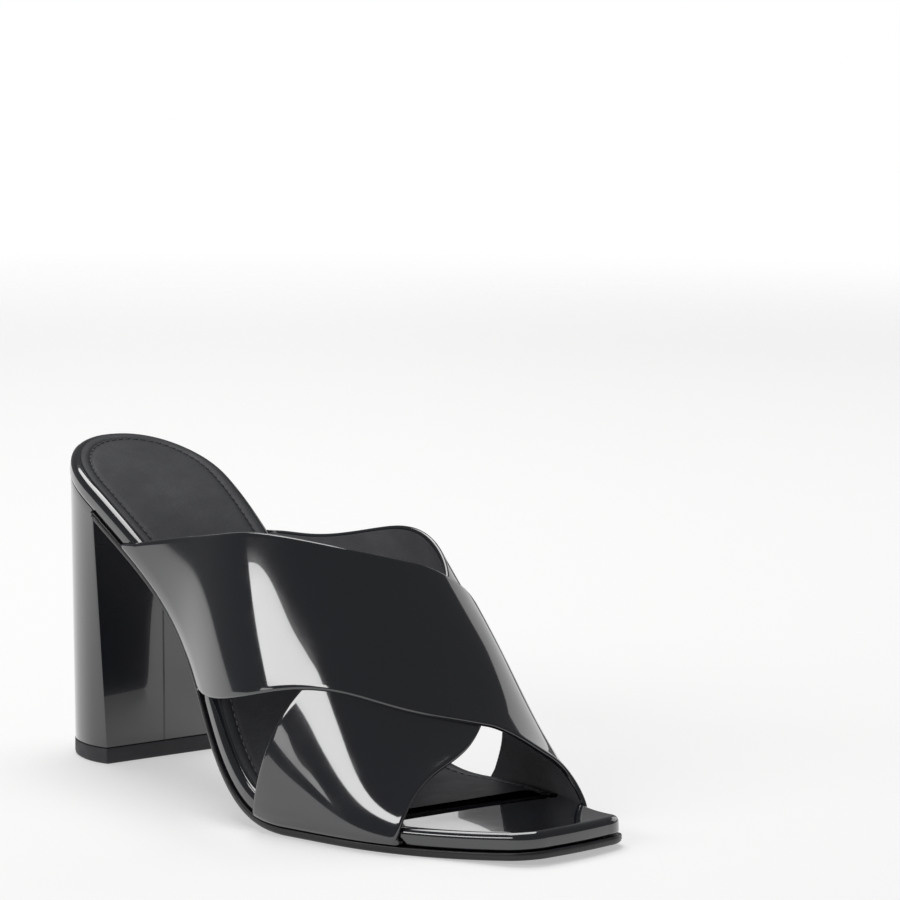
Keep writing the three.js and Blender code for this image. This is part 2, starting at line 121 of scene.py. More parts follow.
@dataclass(frozen=True)
class Last:
    """The last that the shoe is built on: its bottom and its instep."""

    length: float = 221.6
    ball_width: float = 78.0
    seat_height: float = 98.4
    instep_height: float = 91.6
    swing: float = 9.2
    stack: float = 2.8
    toe_spring: float = 2.2
    flat: tuple[float, float] = (0.68, 0.84)
    heel_round: tuple[float, float] = (32.3, 2.14)
    toe_corner: float = 6.9
    toe_turn: float = 6.3
    toe_bulge: float = 0.7
    toe_from: float = 0.86
    # place, lateral and medial half widths as shares of the ball's width, lift as a share of the seat's rise
    bottom: tuple[tuple[float, float, float, float], ...] = (
        (0.0, 0.342, 0.342, 1.0),
        (0.06, 0.342, 0.342, 0.9476),
        (0.12, 0.342, 0.342, 0.8926),
        (0.2, 0.34, 0.331, 0.8047),
        (0.3, 0.309, 0.316, 0.6574),
        (0.4, 0.31, 0.349, 0.4616),
        (0.5, 0.368, 0.464, 0.2061),
        (0.6, 0.384, 0.597, 0.0276),
        (0.64, 0.367, 0.641, 0.004),
        (0.7, 0.318, 0.689, 0.0),
        (0.8, 0.213, 0.709, 0.0),
        (0.9, 0.035, 0.657, 0.0),
        (1.0, -0.149, 0.641, 0.0),
    )
    # place and the crest's height as a share of the instep's
    crest: tuple[tuple[float, float], ...] = (
        (0.4, 1.524),
        (0.52, 1.336),
        (0.62, 0.999),
        (0.72, 0.639),
        (0.82, 0.316),
        (0.95, 0.3),
    )
    curves: dict[str, Curve] = field(init=False, default_factory=dict, compare=False)

    def __post_init__(self) -> None:
        """Makes the curves through the tables."""
        at, lateral, medial, lift = zip(*self.bottom)
        self.curves[Side.LATERAL.name] = Curve(at, lateral)
        self.curves[Side.MEDIAL.name] = Curve(at, medial)
        self.curves["lift"] = Curve(at, lift)
        self.curves["crest"] = Curve(*zip(*self.crest))

    def lift(self, f: Array) -> Array:
        """Returns the height of the footbed's underside at f."""
        u = np.asarray(f, float) / self.length
        rear = self.stack + (self.seat_height - self.stack) * np.maximum(0, self.curves["lift"](u))
        toe = self.stack + self.toe_spring * np.maximum(0, (u - self.flat[1]) / (1 - self.flat[1])) ** 2
        return np.where(u < self.flat[0], rear, toe)

    def slope(self, f: Array) -> Array:
        """Returns the slope of that underside."""
        return (self.lift(f + 0.05) - self.lift(f - 0.05)) / 0.1

    def half(self, side: Side, f: Array) -> Array:
        """Returns the half width on one side, without the rounding of heel and toe."""
        return self.ball_width * self.curves[side.name](np.asarray(f, float) / self.length)

    def stretch(self, side: Side, f: Array) -> Array:
        """Returns how much longer a step square to the edge is when it is taken straight across the shoe."""
        return np.hypot(1, self.half(side, f + 0.5) - self.half(side, f - 0.5))

    def rounded_half(self, side: Side, f: Array) -> Array:
        """Returns the half width on one side with the rounded heel and toe corners."""
        depth, power = self.heel_round
        back = (1 - np.clip(1 - f / depth, 0, 1) ** power) ** (1 / power)
        q = np.clip(1 - (self.length - f) / self.toe_corner, 0, 1)
        return self.half(side, f) * back - self.toe_corner * (1 - np.sqrt(1 - q * q))

    def stations(self, start: float, end: float) -> Array:
        """Returns places along the shoe between two ends, closer where the outline is round."""
        depth = self.heel_round[0]
        heel = depth * (1 - np.cos(np.linspace(0, math.pi / 2, 33)))
        middle = np.linspace(depth, self.length - self.toe_corner, 130)[1:]
        toe = self.length - self.toe_corner * (1 - np.sin(np.linspace(0, math.pi / 2, 14)[1:]))
        places = np.concatenate([heel, middle, toe])
        inside = places[(places > start + 0.04) & (places < end - 0.04)]
        return np.concatenate([[start], inside, [end]])

    def outline(self, inset: float, start: float = 0.0, end: float | None = None) -> Array:
        """Returns the footbed's outline moved in, up the outer side and back down the inner.

        Args:
            inset: how far inwards, in mm.
            start: where it is cut off at the rear, or 0 for the whole heel.
            end: where it is cut off at the front, or None for the whole toe.

        Returns:
            One row of f and m for each point.
        """
        whole = end is None
        places = self.stations(start, self.length if whole else end)
        tip = start == 0
        rest = places[1:] if tip else places
        k = np.clip((rest / self.length - self.toe_from) / (1 - self.toe_from), 0, 1) ** 2
        turn = math.tan(math.radians(self.toe_turn)) * k
        outer_m = -self.rounded_half(Side.LATERAL, rest)
        inner_m = self.rounded_half(Side.MEDIAL, rest)
        outer = np.stack([rest - outer_m * turn, outer_m], 1)
        inner = np.stack([rest - inner_m * turn, inner_m], 1)
        parts = [np.zeros((1, 2))] * tip + [outer]
        if whole:
            s = np.linspace(0, 1, 22)[1:-1, None]
            front = outer[-1] * (1 - s) + inner[-1] * s
            front[:, 0] += self.toe_bulge * 4 * s[:, 0] * (1 - s[:, 0])
            parts.append(front)
        loop = np.concatenate(parts + [inner[::-1]])
        ahead = np.roll(loop, -1, 0) - loop
        ahead /= np.linalg.norm(ahead, axis=1, keepdims=True)
        behind = np.roll(ahead, 1, 0)
        bend = (ahead * behind).sum(1)
        along = ahead + behind
        along /= np.linalg.norm(along, axis=1, keepdims=True)
        reach = inset / np.where(bend < 0.6, np.maximum(0.5, np.sqrt((1 + bend) / 2)), 1)
        return loop + np.stack([-along[:, 1], along[:, 0]], 1) * reach[:, None]

    def lifted(self, plan: Array, off: Array | float) -> Array:
        """Returns points off the footbed's underside, square to its profile.

        Args:
            plan: rows of f and m.
            off: how far up from the underside.
        """
        slope = self.slope(plan[:, 0])
        c = np.hypot(1, slope)
        return np.stack([plan[:, 0] - slope / c * off, plan[:, 1], self.lift(plan[:, 0]) + off / c], 1)


@dataclass(frozen=True)
class Strap:
    """One strap: its four measures along each edge over the turn from the outer to the inner side."""

    rear: Curve
    front: Curve
    raised: bool


class Instep:
    """The surface of the straps over the last."""

    TABLE = (
        # turn, overRear, overFront, underRear, underFront
        (0.0, 0.2407, 0.446, 0.6129, 0.841),
        (0.06, 0.3243, 0.5316, 0.6294, 0.8445),
        (0.12, 0.4019, 0.6041, 0.6471, 0.8441),
        (0.2, 0.4944, 0.6809, 0.6702, 0.8398),
        (0.3, 0.5793, 0.7462, 0.6929, 0.833),
        (0.4, 0.6317, 0.7816, 0.7023, 0.8251),
        (0.5, 0.659, 0.8024, 0.694, 0.7953),
        (0.6, 0.669, 0.8218, 0.662, 0.7288),
        (0.7, 0.668, 0.8343, 0.6, 0.657),
        (0.8, 0.669, 0.84, 0.519, 0.605),
        (0.88, 0.673, 0.851, 0.436, 0.572),
        (0.94, 0.671, 0.86, 0.356, 0.546),
        (1.0, 0.648, 0.866, 0.245, 0.5014),
    )

    def __init__(
        self,
        last: Last,
        wall: float = 1.8,
        gap: float = 0.3,
        ease: float = 0.3,
        bite: float = 0.5,
        ramp: float = 30,
    ) -> None:
        """Keeps the last and the straps' own sizes.

        Args:
            last: the last.
            wall: thickness of a strap.
            gap: air between a strap's foot and the footbed's band.
            ease: how much further out a strap stands above its foot.
            bite: how deep the over strap is pressed into the under strap.
            ramp: length in which the over strap climbs on to the under strap.
        """
        self.last = last
        self.wall = wall
        self.gap = gap
        self.ease = ease
        self.bite = bite
        self.ramp = ramp
        turn, over_rear, over_front, under_rear, under_front = zip(*self.TABLE)
        length = last.length
        self.over = Strap(Curve(turn, np.array(over_rear) * length), Curve(turn, np.array(over_front) * length), True)
        self.under = Strap(
            Curve(turn, np.array(under_rear) * length), Curve(turn, np.array(under_front) * length), False
        )

    def point(self, f: Array, turn: Array) -> Array:
        """Returns points of the outer face, in the shoe's axes."""
        last = self.last
        u = f / last.length
        phi = turn * math.pi
        lateral = np.cos(phi) > 0
        room = self.gap + self.ease + self.wall
        outer = last.half(Side.LATERAL, f) + room * last.stretch(Side.LATERAL, f)
        inner = last.half(Side.MEDIAL, f) + room * last.stretch(Side.MEDIAL, f)
        crest = 20.4 + (3.8 - 20.4) * u + (inner - outer) / 2
        v = np.clip(u, 0, 1)
        e = 2 / np.where(lateral, 2.17 - 0.03 * v, 2.53 - 0.31 * v)
        across = np.abs(np.cos(phi)) ** e
        m = np.where(lateral, crest - across * (crest + outer), crest + across * (inner - crest))
        base = last.lift(f)
        height = np.maximum(4, last.instep_height * last.curves["crest"](np.minimum(u, 0.95)) - base)
        return np.stack([f, m, base + height * np.abs(np.sin(phi)) ** e], -1)

    def normal(self, f: Array, turn: Array) -> Array:
        """Returns the outward direction there."""
        t = np.clip(turn, 0.01, 0.99)
        along = self.point(f + 0.5, t) - self.point(f - 0.5, t)
        over = self.point(f, t + 0.004) - self.point(f, t - 0.004)
        n = np.cross(along, over)
        return n / np.linalg.norm(n, axis=-1, keepdims=True)

    def climb(self, f: Array, turn: Array) -> Array:
        """Returns how far the over strap is lifted by the under strap."""
        inside = np.minimum(f - self.under.rear(turn), self.under.front(turn) - f)
        return (self.wall - self.bite) * smooth((inside * 0.8 + self.ramp) / self.ramp)

    def reach(self, strap: Strap, turn: Array, front: bool) -> Array:
        """Returns the step in f that moves 1 mm square to a strap's edge."""
        edge = strap.front if front else strap.rear
        t = np.clip(turn, 0.01, 0.99)
        along = self.point(edge(t + 0.004), t + 0.004) - self.point(edge(t - 0.004), t - 0.004)
        along /= np.linalg.norm(along, axis=-1, keepdims=True)
        step = (self.point(edge(t) + 0.5, t) - self.point(edge(t) - 0.5, t)) / 1.0
        square = step - (step * along).sum(-1, keepdims=True) * along
        return 1 / np.maximum(0.35, np.linalg.norm(square, axis=-1))


@dataclass(frozen=True)
class Placement:
    """Where the shoe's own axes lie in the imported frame."""

    swing: float
    shift: Vector

    def row(self, points: Array) -> Array:
        """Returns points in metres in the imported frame, from rows of f, m and z in mm."""
        a = math.radians(-self.swing)
        x, y = points[..., 1], -points[..., 0]
        turned = np.stack(
            [x * math.cos(a) - y * math.sin(a), x * math.sin(a) + y * math.cos(a), points[..., 2]], -1
        )
        return (turned + np.array(self.shift)) / 1000

    @classmethod
    def fitted(cls, last: Last) -> "Placement":
        """Returns the placement that lays the last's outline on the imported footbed."""
        bare = cls(last.swing, Vector((0, 0, 0)))
        rims = [bare.row(last.lifted(last.outline(0), off)) for off in (0.8, 2, 4)]
        low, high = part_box("footbed")
        own = np.concatenate(rims)
        x = (low.x + high.x) / 2 - (own[:, 0].min() + own[:, 0].max()) / 2
        y = low.y - own[:, 1].min()
        return cls(last.swing, Vector((x * 1000, y * 1000, 0)))


class MeshMaker:
    """Makes objects out of rings of points."""

    def __init__(self, place: Placement) -> None:
        """Keeps the placement that every mesh goes through."""
        self.place = place

    def skin(self, name: str, rings: Sequence[Array], tip: bool, inside: Sequence[int] = ()) -> bpy.types.Object:
        """Makes one closed body through rings, with its ends filled from side to side.

        Args:
            name: the object's name.
            rings: arrays of points with the same length, in the shoe's axes.
            tip: whether the first point of a ring lies on the middle line.
            inside: columns of faces that get the second material slot.

        Returns:
            The object, smooth shaded, linked to the scene.
        """
        n = len(rings[0])
        points = self.place.row(np.concatenate(rings))
        faces: list[list[int]] = []
        second: list[bool] = []
        marked = set(inside)
        for k in range(len(rings) - 1):
            for i in range(n):
                a, b = k * n + i, k * n + (i + 1) % n
                faces.append([a, b, b + n, a + n])
                second.append(i in marked)
        top = (len(rings) - 1) * n

        def facing(i: int) -> int:
            return (n - i) % n if tip else n - 1 - i

        i = 0
        while i + 1 <= facing(i + 1):
            corners = list(dict.fromkeys([i, i + 1, facing(i + 1), facing(i)]))
            if len(corners) > 2:
                faces.append(corners[::-1])
                faces.append([c + top for c in corners])
                second += [False, False]
            i += 1
        mesh = bpy.data.meshes.new(name)
        mesh.from_pydata(points.tolist(), [], faces)
        mesh.validate()
        volume = self.volume(mesh)
        if volume < 0:
            mesh.flip_normals()
        mesh.polygons.foreach_set("material_index", np.array(second, np.int32))
        mesh.shade_smooth()
        mesh.update()
        piece = bpy.data.objects.new(name, mesh)
        bpy.context.scene.collection.objects.link(piece)
        return piece

    @staticmethod
    def volume(mesh: bpy.types.Mesh) -> float:
        """Returns the signed volume of a closed mesh."""
        mesh.calc_loop_triangles()
        co = np.zeros(len(mesh.vertices) * 3)
        mesh.vertices.foreach_get("co", co)
        co = co.reshape(-1, 3)
        tri = np.zeros(len(mesh.loop_triangles) * 3, np.int32)
        mesh.loop_triangles.foreach_get("vertices", tri)
        a, b, c = (co[tri[i::3]] for i in range(3))
        return float((a * np.cross(b, c)).sum() / 6)

    @staticmethod
    def baked(piece: bpy.types.Object) -> bpy.types.Object:
        """Applies a piece's modifiers to its mesh."""
        graph = bpy.context.evaluated_depsgraph_get()
        mesh = bpy.data.meshes.new_from_object(piece.evaluated_get(graph), depsgraph=graph)
        piece.modifiers.clear()
        piece.data = mesh
        return piece


class Socket:
    """A shader or geometry value with arithmetic."""

    def __init__(self, graph: "Graph", output: Any) -> None:
        """Wraps an output socket or a plain number."""
        self.graph = graph
        self.output = output

    def _math(self, operation: str, other: Any = None, third: Any = None, flip: bool = False) -> "Socket":
        first, second = (other, self) if flip else (self, other)
        values = [v for v in (first, second, third) if v is not None]
        return self.graph.node("ShaderNodeMath", dict(enumerate(values)), operation=operation)

    def __add__(self, other: Any) -> "Socket":
        return self._math("ADD", other)

    __radd__ = __add__

    def __sub__(self, other: Any) -> "Socket":
        return self._math("SUBTRACT", other)

    def __rsub__(self, other: Any) -> "Socket":
        return self._math("SUBTRACT", other, flip=True)

    def __mul__(self, other: Any) -> "Socket":
        return self._math("MULTIPLY", other)

    __rmul__ = __mul__

    def __truediv__(self, other: Any) -> "Socket":
        return self._math("DIVIDE", other)

    def __rtruediv__(self, other: Any) -> "Socket":
        return self._math("DIVIDE", other, flip=True)

    def __abs__(self) -> "Socket":
        return self._math("ABSOLUTE")

    def __neg__(self) -> "Socket":
        return self * -1

    def eased(self, low: float, high: float, to_low: float = 0.0, to_high: float = 1.0) -> "Socket":
        """Returns this value mapped smoothly from one range to another."""
        inputs = {"Value": self, "From Min": low, "From Max": high, "To Min": to_low, "To Max": to_high}
        return self.graph.node("ShaderNodeMapRange", inputs, interpolation_type="SMOOTHSTEP")


class Graph:
    """A node tree with one method for every kind of node."""

    def __init__(self, tree: bpy.types.NodeTree) -> None:
        """Wraps a node tree, emptied."""
        self.tree = tree
        tree.nodes.clear()

    def node(self, kind: str, inputs: dict | None = None, out: Union[int, str] = 0, **settings: Any) -> Socket:
        """Adds a node.

        Args:
            kind: the node's type.
            inputs: a value or Socket for each input, by its name or number.
            out: the output that is returned, by its name or number.
            settings: the node's own properties.

        Returns:
            The chosen output.
        """
        made = self.tree.nodes.new(kind)
        for key, value in settings.items():
            setattr(made, key, value)
        for key, value in (inputs or {}).items():
            target = made.inputs[key]
            if isinstance(value, Socket):
                self.tree.links.new(value.output, target)
            elif isinstance(value, bpy.types.NodeSocket):
                self.tree.links.new(value, target)
            else:
                target.default_value = value
        if not made.outputs:
            return Socket(self, None)
        return Socket(self, made.outputs[out])

    def split(self, vector: Socket) -> tuple[Socket, Socket, Socket]:
        """Returns a vector's three parts."""
        first = self.node("ShaderNodeSeparateXYZ", {0: vector})
        outputs = first.output.node.outputs
        return first, Socket(self, outputs[1]), Socket(self, outputs[2])


class Finish:
    """What every finish shares: a material with a node tree over object coordinates."""

    name = "finish"

    def material(self) -> bpy.types.Material:
        """Returns the material."""
        made = bpy.data.materials.new(self.name)
        made.use_nodes = True
        graph = Graph(made.node_tree)
        place = graph.node("ShaderNodeTexCoord", out="Object")
        shader = self.shader(graph, place)
        graph.node("ShaderNodeOutputMaterial", {"Surface": shader})
        return made

    def shader(self, graph: Graph, place: Socket) -> Socket:
        """Returns the surface shader for this finish."""
        raise NotImplementedError


def noise(graph: Graph, place: Socket, scale: float, detail: float = 2.0, roughness: float = 0.5) -> Socket:
    """Returns a noise from 0 to 1 with features of about 1/scale metres."""
    inputs = {"Vector": place, "Scale": scale, "Detail": detail, "Roughness": roughness}
    return graph.node("ShaderNodeTexNoise", inputs)


def bumped(graph: Graph, height: Socket, distance: float, normal: Socket | None = None) -> Socket:
    """Returns a normal bent by a height in units of distance metres."""
    inputs: dict = {"Height": height, "Distance": distance, "Strength": 1.0}
    if normal is not None:
        inputs["Normal"] = normal
    return graph.node("ShaderNodeBump", inputs)


@dataclass(frozen=True)
class Patent(Finish):
    """Patent leather: a dark, slightly blue coat of clear gloss, a little uneven."""

    name: str = "patent_leather"
    color: tuple[float, float, float, float] = (0.0055, 0.0065, 0.0095, 1)
    ripple: float = 0.00004
    peel: float = 0.000003
    seam: tuple[float, float, float, float] | None = None

    def shader(self, graph: Graph, place: Socket) -> Socket:
        """Returns the gloss with slow ripples, fine peel and, on the heel, a seam."""
        slow = noise(graph, place, 26.0, 1.0)
        peel = noise(graph, place, 900.0, 1.0)
        bent = bumped(graph, slow, self.ripple)
        bent = bumped(graph, peel, self.peel, bent)
        coat: Socket | float = 1.0
        if self.seam:
            x, y, offset, front = self.seam
            px, py, _ = graph.split(place)
            across = abs(px * x + py * y - offset)
            ahead = py * -x + px * y
            groove = (1 - across.eased(0.0, 0.0006)) * ahead.eased(front, front + 0.002)
            bent = bumped(graph, 1 - groove, 0.00008, bent)
            coat = 1 - groove * 0.7
        smear = noise(graph, place, 60.0, 3.0).eased(0.4, 0.75, 0.09, 0.15)
        tint = noise(graph, place, 15.0, 2.0)
        color = graph.node(
            "ShaderNodeMix",
            {0: tint, 6: self.color, 7: tuple(c * 1.25 for c in self.color[:3]) + (1,)},
            out=2,
            data_type="RGBA",
        )
        return graph.node(
            "ShaderNodeBsdfPrincipled",
            {
                "Base Color": color,
                "Roughness": smear,
                "IOR": 1.52,
                "Specular IOR Level": 0.5,
                "Coat Weight": coat,
                "Coat Roughness": 0.018,
                "Coat IOR": 1.65,
                "Normal": bent,
            },
        )


@dataclass(frozen=True)
class Grained(Finish):
    """Matt leather with a fine grain: the sock or the straps' lining."""

    name: str = "sock_leather"
    color: tuple[float, float, float, float] = (0.010, 0.011, 0.015, 1)
    grain: float = 1500.0
    depth: float = 0.00006
    roughness: float = 0.56

    def shader(self, graph: Graph, place: Socket) -> Socket:
        """Returns the grained leather with rubbed places."""
        cells = graph.node("ShaderNodeTexVoronoi", {"Vector": place, "Scale": self.grain})
        pores = noise(graph, place, self.grain * 0.6, 3.0)
        worn = noise(graph, place, 45.0, 4.0, 0.6)
        bent = bumped(graph, cells * 0.5 + pores * 0.5, self.depth)
        bent = bumped(graph, noise(graph, place, 90.0, 2.0), 0.00025, bent)
        light = tuple(c * 1.35 for c in self.color[:3]) + (1,)
        color = graph.node(
            "ShaderNodeMix", {0: worn.eased(0.35, 0.7), 6: self.color, 7: light}, out=2, data_type="RGBA"
        )
        return graph.node(
            "ShaderNodeBsdfPrincipled",
            {
                "Base Color": color,
                "Roughness": worn.eased(0.3, 0.75, self.roughness + 0.06, self.roughness - 0.06),
                "Specular IOR Level": 0.4,
                "Normal": bent,
            },
        )


@dataclass(frozen=True)
class SoleLeather(Finish):
    """Smooth black sole leather with a waxed edge."""

    name: str = "outsole_leather"
    color: tuple[float, float, float, float] = (0.010, 0.010, 0.012, 1)

    def shader(self, graph: Graph, place: Socket) -> Socket:
        """Returns the leather with long fibres and faint scuffs."""
        fibre = noise(graph, place, 700.0, 3.0)
        scuff = noise(graph, place, 30.0, 5.0, 0.65)
        bent = bumped(graph, fibre, 0.00003)
        light = tuple(c * 2.2 for c in self.color[:3]) + (1,)
        color = graph.node(
            "ShaderNodeMix", {0: scuff.eased(0.5, 0.75), 6: self.color, 7: light}, out=2, data_type="RGBA"
        )
        return graph.node(
            "ShaderNodeBsdfPrincipled",
            {"Base Color": color, "Roughness": scuff.eased(0.3, 0.7, 0.26, 0.42), "Normal": bent},
        )


@dataclass(frozen=True)
class Rubber(Finish):
    """Dense dark rubber, finely stippled."""

    name: str = "heel_rubber"
    color: tuple[float, float, float, float] = (0.022, 0.022, 0.026, 1)

    def shader(self, graph: Graph, place: Socket) -> Socket:
        """Returns the stippled rubber, dusty in places."""
        stipple = noise(graph, place, 1800.0, 2.0)
        dust = noise(graph, place, 120.0, 4.0, 0.6)
        light = tuple(c * 1.7 for c in self.color[:3]) + (1,)
        color = graph.node(
            "ShaderNodeMix", {0: dust.eased(0.45, 0.75), 6: self.color, 7: light}, out=2, data_type="RGBA"
        )
        return graph.node(
            "ShaderNodeBsdfPrincipled",
            {
                "Base Color": color,
                "Roughness": dust.eased(0.3, 0.7, 0.5, 0.68),
                "Normal": bumped(graph, stipple, 0.00004),
            },
        )


@dataclass
class Assembly:
    """What the sub-assemblies share: the last, the mesh maker and the finishes."""

    last: Last
    instep: Instep
    maker: MeshMaker
    finishes: dict[str, bpy.types.Material]

    def dress(self, piece: bpy.types.Object, names: Sequence[str], slot: str, node: str) -> bpy.types.Object:
        """Gives a piece its materials and body, and hides the CAD node that it stands for.

        Args:
            piece: the object.
            names: the finishes, one for each of its material slots.
            slot: the record's material slot; not used.
            node: the CAD node that it stands for.

        Returns:
            The piece.
        """
        for name in names:
            piece.data.materials.append(self.finishes[name])
        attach(piece, "root")
        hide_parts(node)
        return piece


@dataclass
class Straps(Assembly):
    """The two crossed straps, lined, with rolled edges, lasted in under the footbed."""

    flange: float = 8.0
    columns: int = 52
    turns: int = 150

    def build(self) -> bpy.types.Object:
        """Returns both straps as one object."""
        over = self.strap("strap_over", self.instep.over)
        under = self.strap("strap_under", self.instep.under)
        with bpy.context.temp_override(active_object=over, selected_editable_objects=[over, under]):
            bpy.ops.object.join()
        over.name = "crossed_straps"
        return self.dress(over, [], "patent_leather", "upper_straps")

    def section(self, strap: Strap, turn: float) -> tuple[Array, Array]:
        """Returns the places and depths of one ring of a strap: over the outer face, round the edge and back.

        Args:
            strap: the strap.
            turn: where the ring is.

        Returns:
            f and the depth below the outer face, for each point of the ring.
        """
        r = self.instep.wall / 2
        t = np.array(turn)
        rear, front = float(strap.rear(t)), float(strap.front(t))
        rear_r = r * float(self.instep.reach(strap, t, False))
        front_r = r * float(self.instep.reach(strap, t, True))
        flat = np.linspace(rear + rear_r, front - front_r, self.columns)
        arc = np.linspace(0, math.pi, 11)[1:-1]
        f = np.concatenate(
            [flat, front - front_r + front_r * np.sin(arc), flat[::-1], rear + rear_r - rear_r * np.sin(arc)]
        )
        depth = np.concatenate(
            [np.zeros(self.columns), r - r * np.cos(arc), np.full(self.columns, 2 * r), r + r * np.cos(arc)]
        )
        return f, depth

    def strap(self, name: str, strap: Strap) -> bpy.types.Object:
        """Returns one strap, from its foot on the outer side to its foot on the inner."""
        wall, gap = self.instep.wall, self.instep.gap
        rings = []
        for side, turn in ((Side.LATERAL, 0.0), (Side.MEDIAL, 1.0)):
            f, depth = self.section(strap, turn)
            share = depth / wall
            stretch = self.last.stretch(side, f)
            feet = []
            for outer, inner in (
                ((self.flange, 0.05), (self.flange, wall - 0.1)),
                ((1.0, 0.05), (1.0, wall - 0.1)),
                ((-0.6, 0.05), (0.0, wall - 0.1)),
                ((-1.25, 0.2), (-gap + 0.12, wall - 0.1)),
                ((-1.75, 0.55), (-gap + 0.06, wall + 0.05)),
                ((-2.02, 1.1), (-gap, wall + 0.3)),
                ((-gap - wall - 0.18, 1.8), (-gap - 0.12, wall + 0.9)),
            ):
                inset = outer[0] * (1 - share) + inner[0] * share
                off = outer[1] * (1 - share) + inner[1] * share
                m = self.last.half(side, f) - inset * stretch
                feet.append(self.last.lifted(np.stack([f, side.value * m], 1), off))
            body = []
            if side is Side.LATERAL:
                rings += feet
                for t in np.linspace(0.022, 0.978, self.turns):
                    f, depth = self.section(strap, float(t))
                    turn_here = np.full_like(f, t)
                    up = self.instep.climb(f, turn_here) if strap.raised else 0.0
                    n = self.instep.normal(f, turn_here)
                    body.append(self.instep.point(f, turn_here) + n * (up - depth)[:, None])
                rings += body
            else:
                rings += feet[::-1]
        n = self.columns
        piece = self.maker.skin(name, rings, False, range(n + 9, 2 * n + 8))
        piece.data.materials.append(self.finishes["patent"])
        piece.data.materials.append(self.finishes["lining"])
        return piece


